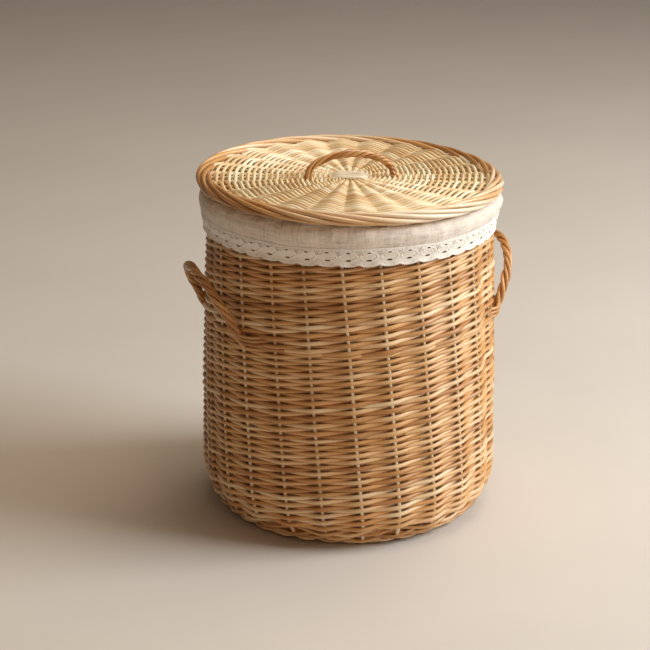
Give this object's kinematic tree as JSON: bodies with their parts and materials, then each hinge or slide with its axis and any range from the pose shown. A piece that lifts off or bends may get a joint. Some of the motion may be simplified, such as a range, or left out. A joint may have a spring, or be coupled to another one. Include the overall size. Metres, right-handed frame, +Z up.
{
  "type": "lidded woven laundry basket",
  "caption": "Round lidded willow laundry basket with a flat woven lid, twisted rope handles and a linen liner folded over the rim with a lace hem.",
  "frame": {"origin": "on the floor at the middle of the round base", "axes": "+Z up; the two side handles lie on the X axis, so +X is through the right handle"},
  "size_m": [0.4402, 0.3998, 0.484],
  "materials": {
    "willow_weave": "satin varnish",
    "willow_stick": "satin varnish",
    "willow_rope": "satin varnish",
    "willow_border": "satin varnish",
    "linen": "matt",
    "lace": "matt"
  },
  "bodies": {
    "basket": {"base_through_sticks": "willow_stick", "base_split_sticks": "willow_stick", "base_weave": "willow_weave", "side_stakes": "willow_stick", "foot_wale": "willow_weave", "weave_lower": "willow_weave", "weave_middle": "willow_weave", "weave_upper": "willow_weave", "rim_border": "willow_border", "liner_floor": "linen", "liner_side": "linen", "liner_cuff": "linen", "lace_trim": "lace", "side_handle_left": "willow_rope", "side_handle_right": "willow_rope"},
    "lid": {"lid_through_sticks": "willow_stick", "lid_split_sticks": "willow_stick", "lid_weave": "willow_weave", "lid_border": "willow_border", "lid_handle": "willow_rope"}
  },
  "joints": [
    {"name": "lid_lift", "type": "slide", "parent": "basket", "child": "lid", "axis": [0, 0, 1], "range_m": [0, 0.25]}
  ]
}
